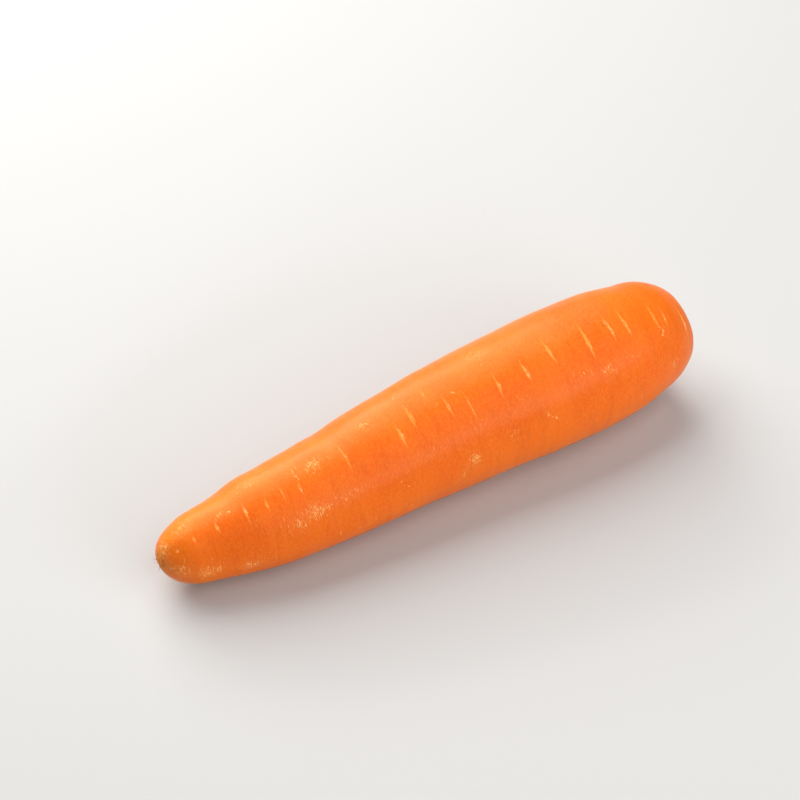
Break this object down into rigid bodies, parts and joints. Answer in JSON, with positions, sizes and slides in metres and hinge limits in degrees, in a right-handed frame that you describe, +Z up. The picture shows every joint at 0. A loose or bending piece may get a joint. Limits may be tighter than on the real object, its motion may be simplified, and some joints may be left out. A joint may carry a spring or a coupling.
{
  "type": "carrot",
  "caption": "Whole washed orange carrot, topped and lying on its side, with a blunt tip, a long even taper and a round shoulder.",
  "frame": {"origin": "centre of the bounding box at the surface that the carrot rests on", "axes": "+X along the carrot from its tip to its crown, +Y sideways, +Z up"},
  "size_m": [0.2049, 0.0476, 0.0469],
  "materials": {
    "carrot_skin": "washed carrot skin: smooth, moist and softly glossy orange, with pale cross slits and fine scuffs"
  },
  "bodies": {
    "root": {"carrot_root": "carrot_skin"}
  },
  "joints": []
}
